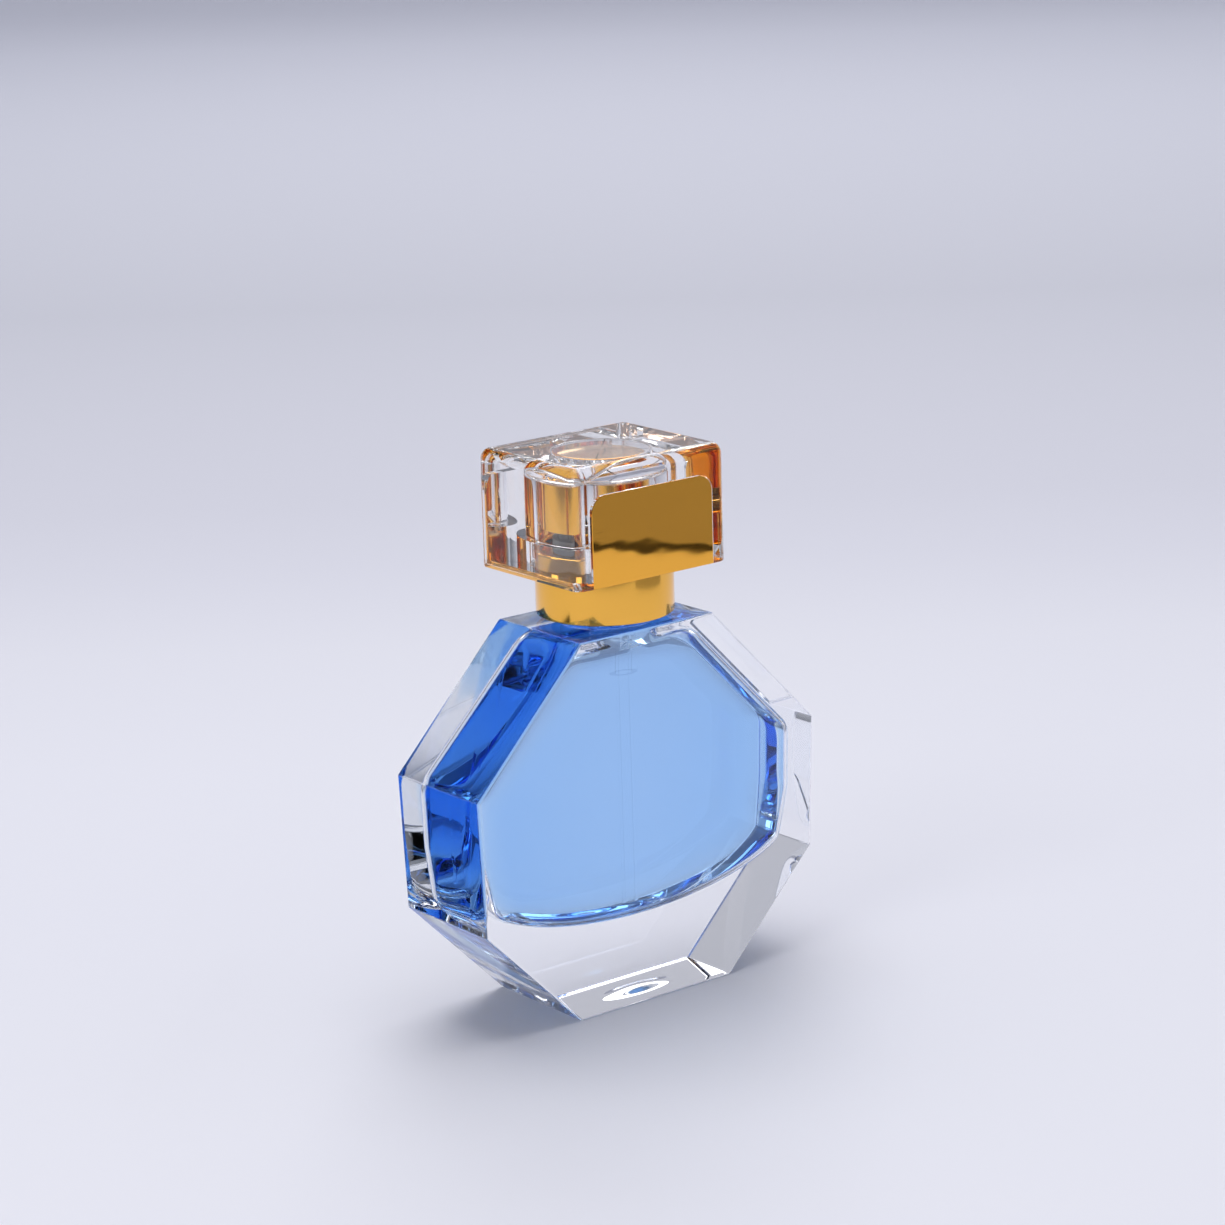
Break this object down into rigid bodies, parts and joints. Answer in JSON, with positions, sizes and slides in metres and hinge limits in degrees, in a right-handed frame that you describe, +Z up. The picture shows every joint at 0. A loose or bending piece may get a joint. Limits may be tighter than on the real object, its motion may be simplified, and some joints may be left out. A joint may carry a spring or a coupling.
{
  "type": "perfume bottle",
  "caption": "Faceted clear glass perfume bottle with blue perfume, gold collar, pump spray head and a clear lift-off cap wrapped by a gold saddle.",
  "frame": {"origin": "centre of the foot, on the surface the bottle stands on", "axes": "+Z up through the neck, +X across the width, the front face looks along -Y"},
  "size_m": [0.062, 0.023, 0.0809],
  "materials": {
    "clear_glass": "fire-polished clear",
    "blue_perfume": "clear liquid",
    "gold_anodised": "polished gold anodised",
    "gold_plate": "mirror gold",
    "clear_acrylic": "polished clear",
    "clear_plastic": "clear",
    "white_plastic": "satin",
    "dark_plastic": "satin black",
    "seal_rubber": "matte",
    "spring_steel": "drawn wire",
    "glass_ball": "polished"
  },
  "bodies": {
    "bottle": {"bottle_glass": "clear_glass", "perfume_fill": "blue_perfume", "neck_gasket": "seal_rubber", "crimp_ferrule": "gold_anodised", "pump_housing": "clear_plastic", "pump_turret": "white_plastic", "stem_seal": "seal_rubber", "return_spring": "spring_steel", "dip_tube": "clear_plastic", "collar_sleeve": "dark_plastic", "collar_shell": "gold_anodised"},
    "piston": {"pump_piston": "white_plastic"},
    "spray_head": {"pump_stem": "white_plastic", "actuator": "white_plastic", "actuator_shell": "gold_anodised", "spray_insert": "white_plastic"},
    "check_ball": {"inlet_ball": "glass_ball"},
    "cap": {"cap_block": "clear_acrylic", "cap_liner": "clear_plastic", "cap_saddle": "gold_plate"}
  },
  "joints": [
    {"name": "cap_lift", "type": "slide", "parent": "bottle", "child": "cap", "axis": [0, 0, 1], "range_m": [0, 0.03]},
    {"name": "spray_press", "type": "slide", "parent": "bottle", "child": "piston", "axis": [0, 0, -1], "range_m": [0, 0.0036], "stiffness_N_per_m": 2500, "springref_m": -0.002, "deforming": ["return_spring"]},
    {"name": "head_turn", "type": "hinge", "parent": "piston", "child": "spray_head", "pos_m": [0, 0, 0.07], "axis": [0, 0, 1], "continuous": true},
    {"name": "ball_lift", "type": "slide", "parent": "bottle", "child": "check_ball", "axis": [0, 0, 1], "range_m": [0, 0.0005]}
  ]
}
